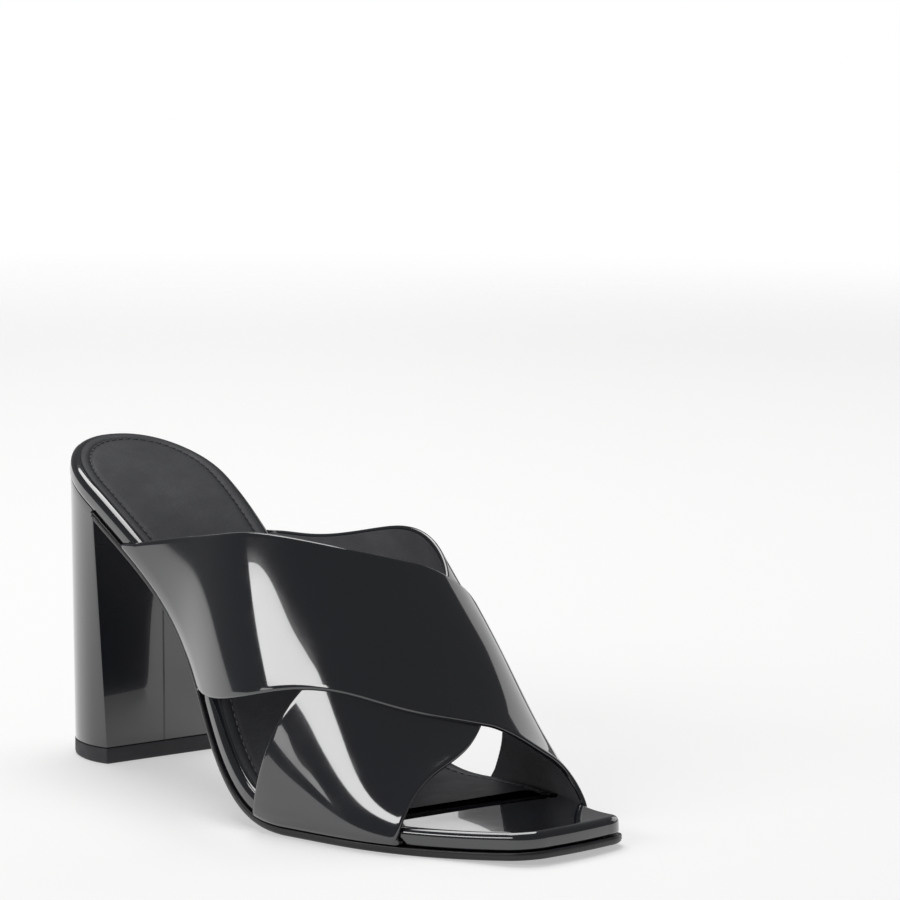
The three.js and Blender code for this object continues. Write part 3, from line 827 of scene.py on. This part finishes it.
@dataclass
class Footbed(Assembly):
    """The padded board wrapped in patent leather, with its sock and the sock's stitched channel."""

    band: float = 5.5
    sock_margin: float = 2.6
    sock_end: float = 0.812
    sock: float = 1.2
    sink: float = 0.9
    gap: float = 0.3
    flange: float = 8.0

    def undercut(self, plan: Array) -> Array:
        """Returns the depth of the rebate for the straps' feet at each outline point."""
        f, m = plan[:, 0], plan[:, 1]
        depth = np.zeros(len(plan))
        for strap in (self.instep.over, self.instep.under):
            for turn, side in ((0.0, m < 0), (1.0, m > 0)):
                a = float(strap.rear(np.array(turn))) - 0.8
                b = float(strap.front(np.array(turn))) + 0.8
                depth = np.where(side & (f > a) & (f < b), self.instep.wall + 0.2, depth)
        return depth

    def bed(self) -> bpy.types.Object:
        """Returns the wrapped footbed."""
        edge = self.last.outline(0)
        cut = self.undercut(edge)
        rows: list[tuple[float, Array | float]] = [
            (9.4, 0.0),
            (8.9, cut),
            (1.2, cut),
            (0.45, np.maximum(cut, 0.12)),
            (0.12, np.maximum(cut + 0.2, 0.5)),
            (0.0, np.maximum(cut + 0.5, 1.1)),
            (0.0, self.band - 2.4),
        ]
        r = 2.1
        for a in np.linspace(0, math.pi / 2, 9):
            rows.append((r * (1 - math.cos(a)), self.band - r + r * math.sin(a)))
        rows += [(r + 0.5, self.band), (r + 2, self.band)]
        rings = []
        for inset, off in rows:
            rings.append(self.last.lifted(self.last.outline(inset), off))
        piece = self.maker.skin("wrapped_footbed", rings, True)
        return self.dress(piece, ["patent"], "patent_leather", "footbed")

    def sock_top(self) -> float:
        """Returns the height of the sock's face over the footbed's underside."""
        return self.band - self.sink + self.gap + self.sock

    def sock_piece(self) -> bpy.types.Object:
        """Returns the leather sock with its raised rim and stitched channel."""
        top = self.sock_top()
        end = self.last.length * self.sock_end
        rows = (
            (0.0, -self.sock + 0.02),
            (0.0, -0.5),
            (0.12, -0.22),
            (0.35, -0.06),
            (0.7, 0.0),
            (1.5, 0.02),
            (2.2, -0.02),
            (2.7, -0.14),
            (3.0, -0.3),
            (3.3, -0.34),
            (3.6, -0.3),
            (3.9, -0.14),
            (4.4, -0.02),
            (5.2, 0.02),
            (7.5, 0.02),
        )
        rings = []
        for inset, off in rows:
            plan = self.last.outline(self.sock_margin + inset, 0, end)
            rings.append(self.last.lifted(plan, top + off))
        piece = self.maker.skin("sock", rings, True)
        return self.dress(piece, ["sock"], "sock_leather", "insole_sock")

    def stitches(self, pitch: float = 0.0026) -> bpy.types.Object:
        """Returns the stitches in the channel, set out along it by geometry nodes.

        Args:
            pitch: distance from one stitch to the next, in metres.
        """
        plan = self.last.outline(self.sock_margin + 3.3, 0, self.last.length * self.sock_end)
        keep = plan[:, 0] < self.last.length * self.sock_end - 4.5
        start = int(np.argmin(keep))
        order = np.roll(np.arange(len(plan)), -start)
        order = order[keep[order]]
        path = self.maker.place.row(self.last.lifted(plan[order], self.sock_top() - 0.22))
        line = bpy.data.meshes.new("stitch_line")
        line.from_pydata(path.tolist(), [(i, i + 1) for i in range(len(path) - 1)], [])
        piece = bpy.data.objects.new("sock_stitches", line)
        bpy.context.scene.collection.objects.link(piece)
        tree = bpy.data.node_groups.new("stitch_row", "GeometryNodeTree")
        tree.interface.new_socket("Geometry", in_out="INPUT", socket_type="NodeSocketGeometry")
        gap_input = tree.interface.new_socket("Pitch", in_out="INPUT", socket_type="NodeSocketFloat")
        gap_input.default_value = pitch
        long_input = tree.interface.new_socket("Stitch length", in_out="INPUT", socket_type="NodeSocketFloat")
        long_input.default_value = 0.0019
        thick_input = tree.interface.new_socket("Thread", in_out="INPUT", socket_type="NodeSocketFloat")
        thick_input.default_value = 0.00028
        thread = tree.interface.new_socket("Material", in_out="INPUT", socket_type="NodeSocketMaterial")
        thread.default_value = self.finishes["thread"]
        tree.interface.new_socket("Geometry", in_out="OUTPUT", socket_type="NodeSocketGeometry")
        graph = Graph(tree)
        given = graph.node("NodeGroupInput")
        inputs = given.output.node.outputs
        curve = graph.node("GeometryNodeMeshToCurve", {"Mesh": inputs["Geometry"]})
        spaced = graph.node("GeometryNodeResampleCurve", {"Curve": curve, "Length": inputs["Pitch"]}, mode="LENGTH")
        points = graph.node("GeometryNodeCurveToPoints", {"Curve": spaced}, mode="EVALUATED")
        turn = Socket(graph, points.output.node.outputs["Rotation"])
        one = graph.node(
            "GeometryNodeMeshUVSphere", {"Segments": 8, "Rings": 6, "Radius": 1.0}
        )
        half = Socket(graph, inputs["Stitch length"]) * 0.5
        size = graph.node(
            "ShaderNodeCombineXYZ", {0: inputs["Thread"], 1: inputs["Thread"], 2: half}
        )
        shaped = graph.node("GeometryNodeTransform", {"Geometry": one, "Scale": size})
        placed = graph.node(
            "GeometryNodeInstanceOnPoints", {"Points": points, "Instance": shaped, "Rotation": turn}
        )
        real = graph.node("GeometryNodeRealizeInstances", {"Geometry": placed})
        coated = graph.node("GeometryNodeSetMaterial", {"Geometry": real, "Material": inputs["Material"]})
        graph.node("NodeGroupOutput", {"Geometry": coated})
        piece.modifiers.new("stitches", "NODES").node_group = tree
        self.maker.baked(piece)
        piece.data.shade_smooth()
        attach(piece, "root")
        return piece


@dataclass
class Sole(Assembly):
    """The thin leather outsole."""

    breast: float = 35.3
    thickness: float = 2.5
    ledge: float = 0.7
    gap: float = 0.3

    def build(self) -> bpy.types.Object:
        """Returns the outsole, cut off square behind the breast."""
        low = -self.gap - self.thickness
        rows = (
            (3.0, low),
            (0.45, low),
            (0.0, low + 0.08),
            (-0.42, low + 0.45),
            (-self.ledge, low + 1.1),
            (-self.ledge, -self.gap - 0.35),
            (-self.ledge + 0.12, -self.gap - 0.08),
            (-self.ledge + 0.5, -self.gap),
            (3.0, -self.gap),
        )
        rings = []
        for inset, off in rows:
            at = np.array([self.breast])
            slope = float(self.last.slope(at)[0])
            start = self.breast + slope / math.hypot(1, slope) * off - min(inset, 0.5)
            rings.append(self.last.lifted(self.last.outline(inset, start), off))
        piece = self.maker.skin("leather_outsole", rings, False)
        return self.dress(piece, ["sole"], "outsole_leather", "outsole")


@dataclass
class Heel(Assembly):
    """The covered block heel and its top piece."""

    breast: float = 35.0
    width: float = 48.4
    depth: float = 32.6
    setback: float = 2.9
    top_piece: float = 5.2
    gap: float = 0.3
    corner: float = 1.3

    def base(self, inset: float) -> Array:
        """Returns the outline of the heel's base, point for point with the footbed's outline above it."""
        places = self.last.stations(0, self.breast)[1:]
        t = places / self.breast
        half = self.width / 2 * (1 - np.clip(1 - t / 0.72, 0, 1) ** 2.12) ** (1 / 2.12)
        half = half - 2.3 * np.clip((t - 0.72) / 0.28, 0, 1) ** 2
        f = self.setback + t * self.depth
        loop = np.concatenate([[[self.setback, 0]], np.stack([f, -half], 1), np.stack([f, half], 1)[::-1]])
        centre = np.array([self.setback + self.depth * 0.6, 0])
        return (loop - centre) * (1 - inset / (self.width / 2)) + centre

    @staticmethod
    def level(plan: Array, z: float) -> Array:
        """Returns an outline at a height."""
        return np.concatenate([plan, np.full((len(plan), 1), z)], 1)

    def soften(self, piece: bpy.types.Object, width: float) -> bpy.types.Object:
        """Rounds a piece's sharp edges."""
        bevel = piece.modifiers.new("soft_edges", "BEVEL")
        bevel.width = width / 1000
        bevel.segments = 4
        bevel.limit_method = "ANGLE"
        bevel.angle_limit = math.radians(40)
        bevel.harden_normals = False
        return self.maker.baked(piece)

    def block(self) -> bpy.types.Object:
        """Returns the patent-covered block."""
        rim = self.last.lifted(self.last.outline(0.5, 0, self.breast), -self.gap)
        foot = self.level(self.base(0.0), self.top_piece + self.gap)
        rings = [foot + (rim - foot) * s for s in np.linspace(0, 1, 25)]
        piece = self.soften(self.maker.skin("block_heel", rings, True), self.corner)
        piece.data.shade_smooth()
        return self.dress(piece, ["heel_patent"], "patent_leather", "heel")

    def lift_piece(self) -> bpy.types.Object:
        """Returns the rubber top piece."""
        rows = ((0.7, 0.0), (0.2, 0.35), (0.0, 1.1), (0.0, self.top_piece))
        rings = [self.level(self.base(inset), z) for inset, z in rows]
        piece = self.soften(self.maker.skin("top_piece", rings, True), 0.25)
        piece.data.shade_auto_smooth(math.radians(45)) if hasattr(piece.data, "shade_auto_smooth") else None
        return self.dress(piece, ["rubber"], "heel_rubber", "heel_top_piece")


@dataclass(frozen=True)
class Softbox:
    """A soft rectangular light seen from the shoe in one direction."""

    name: str
    azimuth: float
    elevation: float
    distance: float
    width: float
    height: float
    radiance: float
    roll: float = 0.0

    def place(self, target: Vector) -> bpy.types.Object:
        """Returns the light, aimed at the target."""
        light = bpy.data.lights.new(self.name, "AREA")
        light.shape = "RECTANGLE"
        light.size = self.width
        light.size_y = self.height
        light.energy = self.radiance * math.pi * self.width * self.height
        lamp = bpy.data.objects.new(self.name, light)
        bpy.context.scene.collection.objects.link(lamp)
        a, e = math.radians(self.azimuth), math.radians(self.elevation)
        away = Vector((math.sin(a) * math.cos(e), -math.cos(a) * math.cos(e), math.sin(e)))
        aim = away.to_track_quat("Z", "Y").to_matrix().to_4x4()
        lamp.matrix_world = (
            Matrix.Translation(target + away * self.distance) @ aim @ Matrix.Rotation(math.radians(self.roll), 4, "Z")
        )
        lamp.visible_camera = False
        return lamp


@dataclass(frozen=True)
class Studio:
    """The white table, the dim room and the lights."""

    room: float = 0.15
    table: float = 0.62
    glow: float = 0.42
    near: float = 1.1
    far: float = 1.7
    boxes: tuple[Softbox, ...] = (
        Softbox("key_softbox", -94, 26.5, 1.9, 1.6, 0.36, 6.6, 19.0),
        Softbox("low_strip", -113, 6, 1.9, 0.36, 0.2, 2.0),
        Softbox("top_softbox", 150, 72, 1.8, 1.3, 1.3, 4.2),
        Softbox("far_softbox", 90, 18, 1.9, 1.4, 0.85, 1.0, -8.0),
        Softbox("backdrop", 142, 9, 1.6, 0.5, 0.3, 0.9),
    )

    def build(self) -> None:
        """Makes the world, the table and the lights."""
        self.world()
        self.floor()
        for box in self.boxes:
            box.place(Vector((0, 0, 0.05)))

    def world(self) -> None:
        """A dim room that the camera sees as white paper."""
        world = bpy.data.worlds.new("room")
        bpy.context.scene.world = world
        world.use_nodes = True
        graph = Graph(world.node_tree)
        seen = graph.node("ShaderNodeLightPath", out="Is Camera Ray")
        dim = graph.node("ShaderNodeBackground", {0: (1, 1, 1.02, 1), 1: self.room})
        white = graph.node("ShaderNodeBackground", {0: (1, 1, 1, 1), 1: 1.0})
        both = graph.node("ShaderNodeMixShader", {0: seen, 1: dim, 2: white})
        graph.node("ShaderNodeOutputWorld", {"Surface": both})

    def floor(self) -> bpy.types.Object:
        """A round white table top that fades out towards its edge."""
        n = 96
        ring = [(math.cos(i * 2 * math.pi / n), math.sin(i * 2 * math.pi / n)) for i in range(n)]
        mesh = bpy.data.meshes.new("table")
        mesh.from_pydata([(x * self.far, y * self.far, 0) for x, y in ring], [], [list(range(n))])
        table = bpy.data.objects.new("table", mesh)
        bpy.context.scene.collection.objects.link(table)
        made = bpy.data.materials.new("white_table")
        made.use_nodes = True
        graph = Graph(made.node_tree)
        place = graph.node("ShaderNodeTexCoord", out="Object")
        away = graph.node("ShaderNodeVectorMath", {0: place}, out="Value", operation="LENGTH")
        shader = graph.node(
            "ShaderNodeBsdfPrincipled",
            {
                "Base Color": (self.table, self.table, self.table * 0.99, 1),
                "Roughness": 0.7,
                "Specular IOR Level": 0.2,
                "Emission Color": (1, 1, 1, 1),
                "Emission Strength": self.glow,
                "Alpha": away.eased(self.near, self.far, 1, 0),
            },
        )
        graph.node("ShaderNodeOutputMaterial", {"Surface": shader})
        mesh.materials.append(made)
        return table


@dataclass(frozen=True)
class PhotoCamera:
    """The camera fitted to the photograph, in the shoe's own axes and the picture's pixels."""

    turn: float = 35.176
    tilt: float = 9.453
    roll: float = 0.321
    distance: float = 1286.5
    focal_px: float = 4126.0
    centre_px: tuple[float, float] = (387.671, 510.329)
    offset: tuple[float, float] = (-29.467, -51.694)
    middle: float = 110.787
    level: float = 40.0
    size_px: float = 900.0

    def build(self, place: Placement) -> bpy.types.Object:
        """Returns the camera, set as the scene's own."""
        t, e = math.radians(self.turn), math.radians(self.tilt)
        across = -self.offset[0]
        up, depth = -self.offset[1], -self.distance

        def shoe(wx: float, up_: float, depth_: float) -> Array:
            wy = depth_ * math.cos(e) + up_ * math.sin(e)
            wz = up_ * math.cos(e) - depth_ * math.sin(e)
            f = self.middle + wx * math.sin(t) - wy * math.cos(t)
            m = wx * math.cos(t) + wy * math.sin(t)
            return np.array([f, m, wz + self.level])

        eye, ahead, right, above = (
            Vector(place.row(shoe(*p)))
            for p in ((across, up, depth), (across, up, depth + 1), (across + 1, up, depth), (across, up + 1, depth))
        )
        x, y, z = ((v).normalized() for v in (right - eye, above - eye, eye - ahead))
        data = bpy.data.cameras.new("photo_camera")
        data.sensor_width = 36
        data.lens = 36 * self.focal_px / self.size_px
        data.shift_x = (self.size_px / 2 - self.centre_px[0]) / self.size_px
        data.shift_y = (self.centre_px[1] - self.size_px / 2) / self.size_px
        data.clip_start = 0.05
        camera = bpy.data.objects.new("photo_camera", data)
        bpy.context.scene.collection.objects.link(camera)
        basis = Matrix((x, y, z)).transposed().to_4x4()
        camera.matrix_world = Matrix.Translation(eye) @ basis @ Matrix.Rotation(math.radians(self.roll), 4, "Z")
        bpy.context.scene.camera = camera
        return camera


def finishes(place: Placement) -> dict[str, bpy.types.Material]:
    """Returns every material of the shoe by its short name."""
    a = math.radians(-place.swing)
    x, y = math.cos(a), math.sin(a)
    offset = (place.shift.x * x + place.shift.y * y) / 1000
    front = (place.shift.x * y - place.shift.y * x) / 1000 + 0.0335
    return {
        "patent": Patent().material(),
        "heel_patent": Patent("heel_patent", ripple=0.00004, seam=(x, y, offset, front)).material(),
        "sock": Grained().material(),
        "lining": Grained("lining_leather", (0.13, 0.13, 0.14, 1), 1300.0, 0.00008, 0.38).material(),
        "thread": Grained("thread", (0.05, 0.05, 0.06, 1), 4000.0, 0.00003, 0.6).material(),
        "sole": SoleLeather().material(),
        "rubber": Rubber().material(),
    }


def main() -> None:
    """Builds the dressed shoe and its studio."""
    logging.basicConfig(level=logging.INFO, format="%(name)s: %(message)s")
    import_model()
    last = Last()
    instep = Instep(last)
    place = Placement.fitted(last)
    log.info("shift %s", [round(v, 3) for v in place.shift])
    PhotoCamera().build(place)
    shared = (last, instep, MeshMaker(place), finishes(place))
    straps = Straps(*shared).build()
    footbed = Footbed(*shared)
    footbed.bed()
    footbed.sock_piece()
    footbed.stitches()
    Sole(*shared).build()
    heel = Heel(*shared)
    heel.block()
    heel.lift_piece()
    log.info("straps have %d faces", len(straps.data.polygons))
    Studio().build()
    scene = bpy.context.scene
    scene.view_settings.view_transform = "Standard"
    scene.view_settings.look = "None"


if __name__ == "__main__":
    main()
